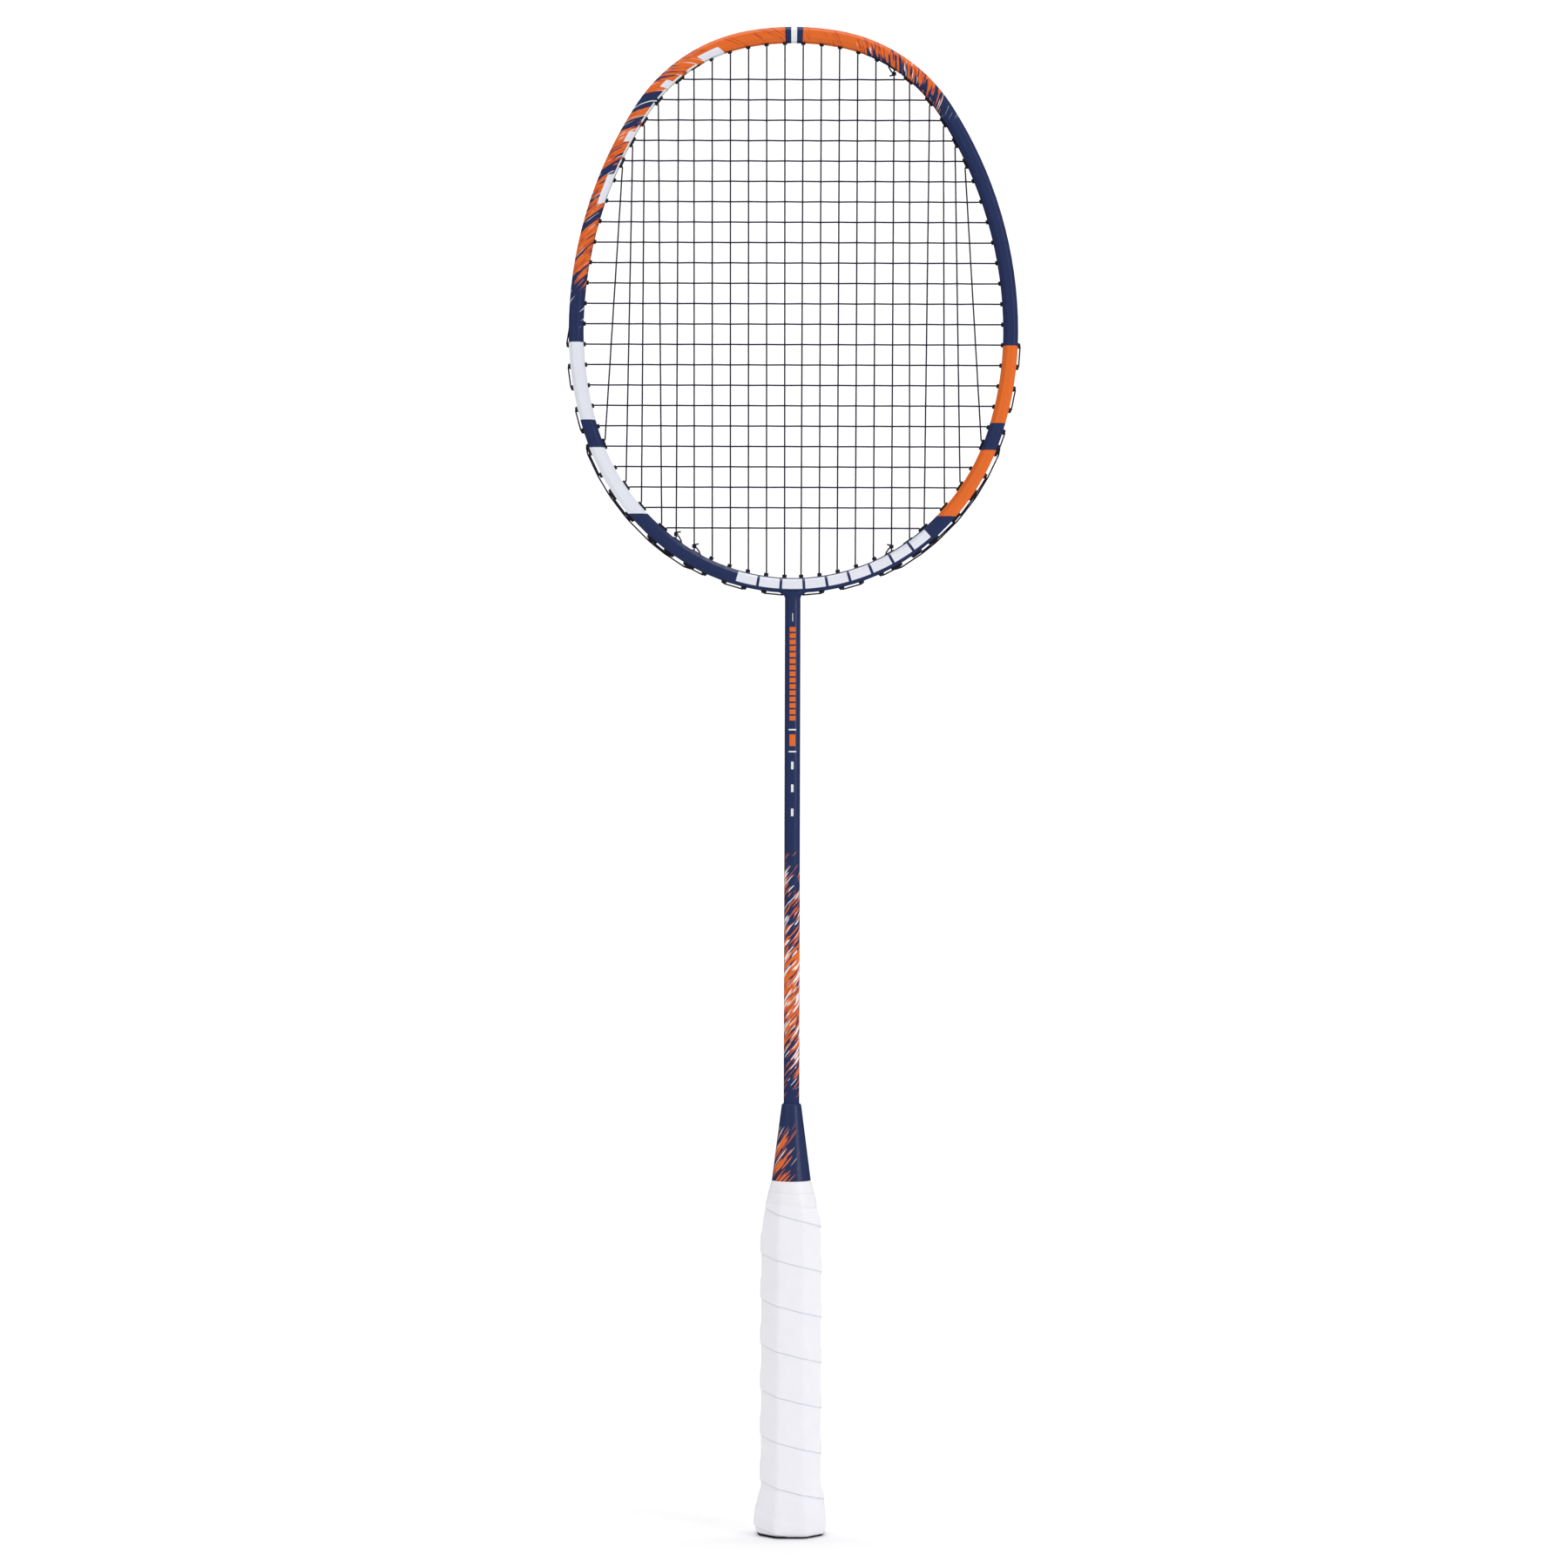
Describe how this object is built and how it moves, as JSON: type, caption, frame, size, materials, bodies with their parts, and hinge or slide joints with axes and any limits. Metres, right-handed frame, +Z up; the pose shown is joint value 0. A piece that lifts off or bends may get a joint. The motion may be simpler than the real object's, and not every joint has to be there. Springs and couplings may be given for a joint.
{
  "type": "badminton racket",
  "caption": "Strung badminton racket: oval composite head, thin shaft, tapered cone and a handle in a spiral grip wrap.",
  "frame": {"origin": "middle of the flat butt end, the lowest face of the racket when it is held upright", "axes": "+Z up the racket from the butt to the tip of the head, X across the head in the plane of the strings, -Y out of the front face"},
  "size_m": [0.2039, 0.0284, 0.675],
  "materials": {
    "painted_composite": "lacquered",
    "painted_shaft": "lacquered",
    "insert_metal": "as machined",
    "cone_plastic": "printed, satin",
    "handle_wood": "sanded",
    "cap_plastic": "moulded",
    "staple_steel": "zinc plated",
    "grip_polyurethane": "soft, slightly tacky",
    "tape_vinyl": "smooth vinyl",
    "nylon_string": "braided, coated",
    "grommet_nylon": "moulded"
  },
  "bodies": {
    "root": {"head_frame": "painted_composite", "t_joint": "insert_metal", "shaft": "painted_shaft", "cone": "cone_plastic", "handle_core": "handle_wood", "butt_cap": "cap_plastic", "grip_staple": "staple_steel", "grip_wrap": "grip_polyurethane", "finishing_tape": "tape_vinyl", "main_string": "nylon_string", "cross_string": "nylon_string", "tip_grommets": "grommet_nylon", "tip_tie_grommets": "grommet_nylon", "upper_shared_grommets": "grommet_nylon", "groove_side_grommets": "grommet_nylon", "proud_side_grommets": "grommet_nylon", "lower_shared_grommets": "grommet_nylon", "throat_tie_grommets": "grommet_nylon", "throat_grommets": "grommet_nylon"}
  },
  "joints": []
}
